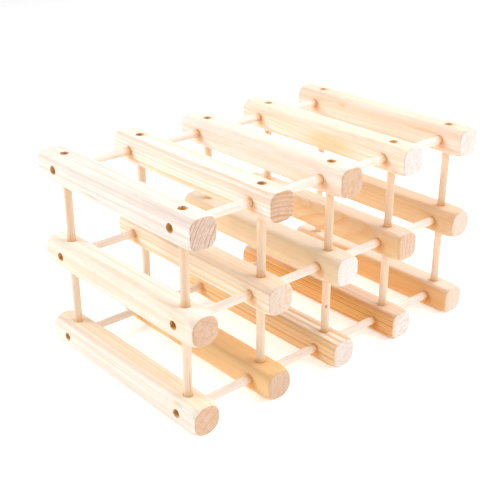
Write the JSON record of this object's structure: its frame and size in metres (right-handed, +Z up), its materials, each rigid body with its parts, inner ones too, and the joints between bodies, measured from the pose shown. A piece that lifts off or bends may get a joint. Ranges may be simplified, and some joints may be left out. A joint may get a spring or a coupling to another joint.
{
  "type": "wine rack",
  "caption": "Free-standing modular rack of square pine bars in stacked rows, pegged together with short round dowels, holding bottles lying front to back.",
  "frame": {"origin": "on the ground under the middle of the rack, at the centre of its footprint", "axes": "+X to the right along a row, seen from the front; +Y from front to back along the bars, the way a bottle goes in; +Z up"},
  "size_m": [0.428, 0.268, 0.237],
  "materials": {
    "pine_bottom_1": "planed and sanded natural pine, unfinished",
    "pine_bottom_2": "planed and sanded natural pine, unfinished",
    "pine_bottom_3": "planed and sanded natural pine, unfinished",
    "pine_bottom_4": "planed and sanded natural pine, unfinished",
    "pine_bottom_5": "planed and sanded natural pine, unfinished",
    "pine_middle_1": "planed and sanded natural pine, unfinished",
    "pine_middle_2": "planed and sanded natural pine, unfinished",
    "pine_middle_3": "planed and sanded natural pine, unfinished",
    "pine_middle_4": "planed and sanded natural pine, unfinished",
    "pine_middle_5": "planed and sanded natural pine, unfinished",
    "pine_top_1": "planed and sanded natural pine, unfinished",
    "pine_top_2": "planed and sanded natural pine, unfinished",
    "pine_top_3": "planed and sanded natural pine, unfinished",
    "pine_top_4": "planed and sanded natural pine, unfinished",
    "pine_top_5": "planed and sanded natural pine, unfinished",
    "dowel_cross": "smooth turned pine, unfinished",
    "dowel_upright": "smooth turned pine, unfinished"
  },
  "bodies": {
    "root": {"bar_bottom_1": "pine_bottom_1", "bar_bottom_2": "pine_bottom_2", "bar_bottom_3": "pine_bottom_3", "bar_bottom_4": "pine_bottom_4", "bar_bottom_5": "pine_bottom_5", "bar_middle_1": "pine_middle_1", "bar_middle_2": "pine_middle_2", "bar_middle_3": "pine_middle_3", "bar_middle_4": "pine_middle_4", "bar_middle_5": "pine_middle_5", "bar_top_1": "pine_top_1", "bar_top_2": "pine_top_2", "bar_top_3": "pine_top_3", "bar_top_4": "pine_top_4", "bar_top_5": "pine_top_5", "cross_dowel_bottom_gap1_front": "dowel_cross", "cross_dowel_bottom_gap1_back": "dowel_cross", "cross_dowel_bottom_gap2_front": "dowel_cross", "cross_dowel_bottom_gap2_back": "dowel_cross", "cross_dowel_bottom_gap3_front": "dowel_cross", "cross_dowel_bottom_gap3_back": "dowel_cross", "cross_dowel_bottom_gap4_front": "dowel_cross", "cross_dowel_bottom_gap4_back": "dowel_cross", "cross_dowel_middle_gap1_front": "dowel_cross", "cross_dowel_middle_gap1_back": "dowel_cross", "cross_dowel_middle_gap2_front": "dowel_cross", "cross_dowel_middle_gap2_back": "dowel_cross", "cross_dowel_middle_gap3_front": "dowel_cross", "cross_dowel_middle_gap3_back": "dowel_cross", "cross_dowel_middle_gap4_front": "dowel_cross", "cross_dowel_middle_gap4_back": "dowel_cross", "cross_dowel_top_gap1_front": "dowel_cross", "cross_dowel_top_gap1_back": "dowel_cross", "cross_dowel_top_gap2_front": "dowel_cross", "cross_dowel_top_gap2_back": "dowel_cross", "cross_dowel_top_gap3_front": "dowel_cross", "cross_dowel_top_gap3_back": "dowel_cross", "cross_dowel_top_gap4_front": "dowel_cross", "cross_dowel_top_gap4_back": "dowel_cross", "upright_dowel_lower_col1_front": "dowel_upright", "upright_dowel_lower_col1_back": "dowel_upright", "upright_dowel_lower_col2_front": "dowel_upright", "upright_dowel_lower_col2_back": "dowel_upright", "upright_dowel_lower_col3_front": "dowel_upright", "upright_dowel_lower_col3_back": "dowel_upright", "upright_dowel_lower_col4_front": "dowel_upright", "upright_dowel_lower_col4_back": "dowel_upright", "upright_dowel_lower_col5_front": "dowel_upright", "upright_dowel_lower_col5_back": "dowel_upright", "upright_dowel_upper_col1_front": "dowel_upright", "upright_dowel_upper_col1_back": "dowel_upright", "upright_dowel_upper_col2_front": "dowel_upright", "upright_dowel_upper_col2_back": "dowel_upright", "upright_dowel_upper_col3_front": "dowel_upright", "upright_dowel_upper_col3_back": "dowel_upright", "upright_dowel_upper_col4_front": "dowel_upright", "upright_dowel_upper_col4_back": "dowel_upright", "upright_dowel_upper_col5_front": "dowel_upright", "upright_dowel_upper_col5_back": "dowel_upright"}
  },
  "joints": []
}
